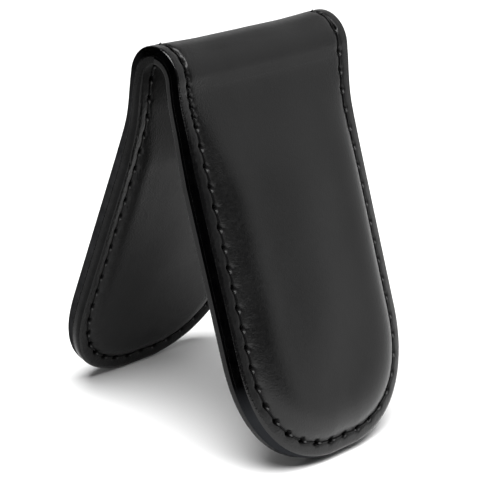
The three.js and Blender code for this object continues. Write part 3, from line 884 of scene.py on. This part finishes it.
# and each stretch's name, first and last stitch count, and the function run on its pieces, which only
# bakes their transforms.
STRETCHES = (("crown", 0, SPLIT_STITCH, crown_blend), ("leaf", SPLIT_STITCH, STITCHES, neck_blend))
for which, side in (("front", -1), ("back", 1)):
    for stretch, start, end, bend in STRETCHES:
        nodes = ("fold", f"neck_{which}") if stretch == "crown" else (f"neck_{which}", which)
        for layer, slot, thread, kind, finish, seed in LAYERS:
            overlap = which == "front" and thread == "needle"
            finishes = (finish, *EDGE_PAINTS[which, layer])
            skin = leather(f"{layer}_{which}_{stretch}", kind, side, start, end, finishes,
                           overlap, seed)
            bend(skin, which, side)
            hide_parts(*[f"{layer}_{node}" for node in nodes])
            seam = seam_threads(f"{thread}_stitches_{which}_{stretch}", kind, side, start, end,
                                overlap)
            bend(seam, which, side)
            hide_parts(f"{thread}_thread_{which}")
    pad = foam_pad(f"foam_{which}", side)
    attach(pad, f"{which}_leaf")
    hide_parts(f"foam_pad_{which}")
    inside = [(f"stiffener_board_{which}", BOARD)]
    inside += [(f"magnet_{which}_{hand}", MAGNET) for hand in ("left", "right")]
    for node, finish in inside:
        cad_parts[node].data.materials.clear()
        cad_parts[node].data.materials.append(finish)


# ---- floor, light and camera -------------------------------------------------------------------

# Lengths here are in metres, unless they say something else.
FLOOR_RADIUS = 2.5
FLOOR_SIDES = 96
FLOOR_GAP = 0.02 * MM             # under the tips
ROOM_STRENGTH = 0.07
CLIP_MIDDLE = (0, 0, 0.035)       # what the lights point at
SOFTBOXES = (                     # name, place, size and power in watts
    ("top_softbox", (-0.17, -0.2, 0.92), (0.9, 0.75), 21),
    ("right_panel", (0.79, -0.22, 0.4), (1.45, 0.85), 3.4),
    ("back_right_panel", (0.6, 0.85, 0.4), (0.9, 0.6), 1.1),
)

VIEW_AZIMUTH = math.radians(46.40)      # from the front, towards -X
VIEW_ELEVATION = math.radians(21.20)
VIEW_ROLL = math.radians(2.12)
VIEW_DISTANCE = 0.3216
VIEW_BELOW_FOLD = 35              # mm from the fold's centre down to what the view turns about,
VIEW_AIM = (2.55, 1.60)           # and mm from there to the picture's middle: right and up
SENSOR_WIDTH = 36                 # mm
LENS = 135.3                      # mm
NEAREST, FARTHEST = 0.01, 20


def add_floor():
    """A round table top."""
    work = bmesh.new()
    bmesh.ops.create_circle(work, cap_ends=True, segments=FLOOR_SIDES, radius=FLOOR_RADIUS)
    mesh = bpy.data.meshes.new("floor")
    work.to_mesh(mesh)
    work.free()
    floor = bpy.data.objects.new("floor", mesh)
    floor.location.z = CAD_LOW.z - FLOOR_GAP
    mesh.materials.append(floor_material())
    bpy.context.scene.collection.objects.link(floor)


def add_softbox(name, place_at, size, power):
    light = bpy.data.lights.new(name, "AREA")
    light.shape = "RECTANGLE"
    light.size, light.size_y = size
    light.energy = power
    made = bpy.data.objects.new(name, light)
    made.location = place_at
    towards = Vector(CLIP_MIDDLE) - made.location
    made.rotation_euler = towards.to_track_quat("-Z", "Y").to_euler()
    bpy.context.scene.collection.objects.link(made)


def add_camera():
    """The photograph's view: from the front left, a little above, with a long lens."""
    level = Vector((math.cos(VIEW_AZIMUTH), -math.sin(VIEW_AZIMUTH), 0))
    reach = math.cos(VIEW_ELEVATION)
    towards = Vector((level.y * reach, -level.x * reach, math.sin(VIEW_ELEVATION)))
    upright = towards.cross(level)
    right = level * math.cos(VIEW_ROLL) + upright * math.sin(VIEW_ROLL)
    up = upright * math.cos(VIEW_ROLL) - level * math.sin(VIEW_ROLL)
    middle = Vector((0, 0, (FOLD_CENTRE - VIEW_BELOW_FOLD) * MM))
    centre = middle + (right * VIEW_AIM[0] + up * VIEW_AIM[1]) * MM
    data = bpy.data.cameras.new("camera")
    data.sensor_width = SENSOR_WIDTH
    data.lens = LENS
    data.clip_start, data.clip_end = NEAREST, FARTHEST
    camera = bpy.data.objects.new("camera", data)
    camera.location = middle + towards * VIEW_DISTANCE
    back = (camera.location - centre).normalized()
    view_right = up.cross(back).normalized()
    axes = Matrix((view_right, back.cross(view_right), back)).transposed()
    camera.rotation_euler = axes.to_euler()
    bpy.context.scene.collection.objects.link(camera)
    bpy.context.scene.camera = camera


def add_room():
    """Even light from all round, as from white studio walls."""
    world = bpy.data.worlds.new("studio")
    world.use_nodes = True
    background = world.node_tree.nodes["Background"]
    background.inputs["Color"].default_value = (1, 1, 1, 1)
    background.inputs["Strength"].default_value = ROOM_STRENGTH
    bpy.context.scene.world = world


add_floor()
add_room()
for softbox in SOFTBOXES:
    add_softbox(*softbox)
add_camera()
bpy.context.scene.view_settings.view_transform = "Standard"
